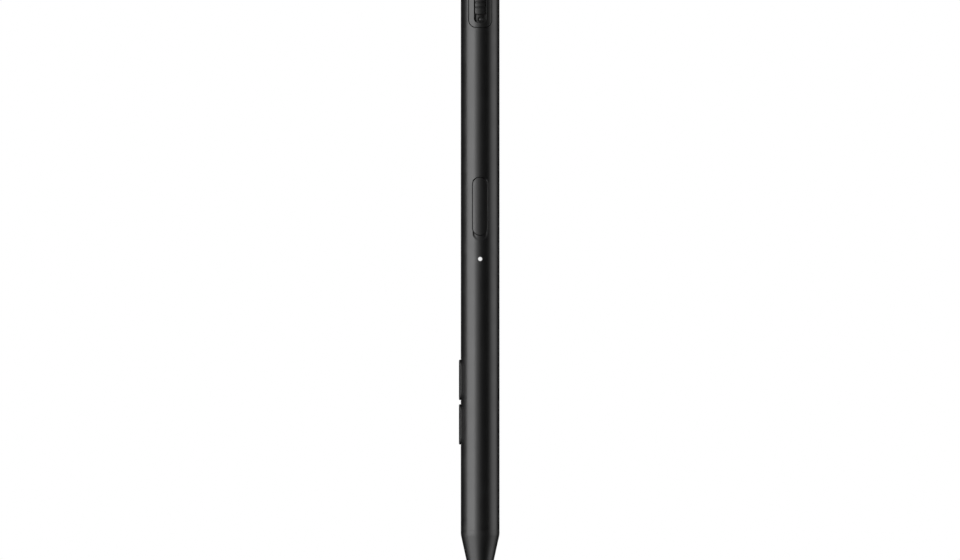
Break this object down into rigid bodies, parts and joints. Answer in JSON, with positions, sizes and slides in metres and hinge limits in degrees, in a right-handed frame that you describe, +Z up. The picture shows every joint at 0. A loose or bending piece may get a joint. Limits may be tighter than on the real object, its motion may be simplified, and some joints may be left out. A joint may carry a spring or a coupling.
{
  "type": "stylus pen",
  "caption": "Slim round rechargeable stylus pen with a tapered nose and pressure nib, side buttons, status light, covered charging port and a ribbed power slide switch.",
  "frame": {"origin": "on the table, under the middle of the pen's length, below the barrel's axis", "axes": "+X along the pen from the nib to the tail, +Z up through the side buttons, -Y out of the face with the light, the port and the switch"},
  "size_m": [0.165, 0.0094, 0.01],
  "materials": {
    "barrel_finish": "bead-blasted, black anodised, satin",
    "nose_plastic": "moulded, satin black",
    "tail_plastic": "moulded, satin black",
    "cover_plastic": "moulded, satin black",
    "button_plastic": "moulded, satin black",
    "bezel_plastic": "moulded, satin black",
    "knob_plastic": "moulded, ribbed, satin black",
    "nib_polymer": "hard low-friction polymer, dark grey",
    "holder_steel": "turned",
    "guide_brass": "turned",
    "electrode_metal": "plated",
    "pad_rubber": "soft, matte",
    "strap_rubber": "flexible, matte black",
    "sensor_case": "moulded grey",
    "frame_plastic": "moulded dark grey",
    "board_laminate": "green solder mask",
    "chip_epoxy": "matte black",
    "small_part_body": "fired tan",
    "screw_steel": "bright",
    "switch_case": "moulded dark grey",
    "switch_plunger": "moulded pale",
    "led_body": "clear over yellow phosphor",
    "light_pipe_clear": "milky, lit white",
    "port_steel": "stamped, nickel plated",
    "port_insulator": "moulded black",
    "contact_gold": "gold plated",
    "battery_wrap": "shrink wrapped can",
    "tab_nickel": "nickel strip",
    "ribbon_film": "amber polyimide film",
    "mark_paint": "pale grey",
    "antenna_body": "white ceramic"
  },
  "bodies": {
    "pen_body": {"barrel": "barrel_finish", "nose_cone": "nose_plastic", "tail_cap": "tail_plastic", "switch_bezel": "bezel_plastic", "nib_guide": "guide_brass", "tilt_electrode": "electrode_metal", "pressure_pad": "pad_rubber", "cover_strap": "strap_rubber", "pressure_sensor": "sensor_case", "inner_frame": "frame_plastic", "main_board": "board_laminate", "switch_board": "board_laminate", "controller_chip": "chip_epoxy", "radio_chip": "chip_epoxy", "board_components": "small_part_body", "board_screws": "screw_steel", "lower_tact_switch": "switch_case", "upper_tact_switch": "switch_case", "slide_switch": "switch_case", "status_led": "led_body", "light_pipe": "light_pipe_clear", "port_shell": "port_steel", "port_tongue": "port_insulator", "port_contacts": "contact_gold", "battery_cell": "battery_wrap", "battery_tabs": "tab_nickel", "ribbon_cable": "ribbon_film", "switch_mark": "mark_paint", "antenna": "antenna_body"},
    "nib_unit": {"nib": "nib_polymer", "nib_holder": "holder_steel"},
    "lower_button": {"lower_button": "button_plastic", "lower_plunger": "switch_plunger"},
    "upper_button": {"upper_button": "button_plastic", "upper_plunger": "switch_plunger"},
    "slide_knob": {"slide_knob": "knob_plastic", "switch_lever": "switch_plunger"},
    "port_cover": {"port_cover": "cover_plastic"}
  },
  "joints": [
    {"name": "nib_press", "type": "slide", "parent": "pen_body", "child": "nib_unit", "axis": [1, 0, 0], "range_m": [0, 0.0003], "stiffness_N_per_m": 1500, "deforming": ["pressure_pad"]},
    {"name": "lower_button_press", "type": "slide", "parent": "pen_body", "child": "lower_button", "axis": [0, 0, -1], "range_m": [0, 0.0003], "stiffness_N_per_m": 3000},
    {"name": "upper_button_press", "type": "slide", "parent": "pen_body", "child": "upper_button", "axis": [0, 0, -1], "range_m": [0, 0.0003], "stiffness_N_per_m": 3000},
    {"name": "power_slide", "type": "slide", "parent": "pen_body", "child": "slide_knob", "axis": [-1, 0, 0], "range_m": [0, 0.0017]},
    {"name": "port_cover_swing", "type": "hinge", "parent": "pen_body", "child": "port_cover", "pos_m": [0.0247, -0.00475, 0.00475], "axis": [0, 0, 1], "range_deg": [0, 120], "deforming": ["cover_strap"]}
  ]
}
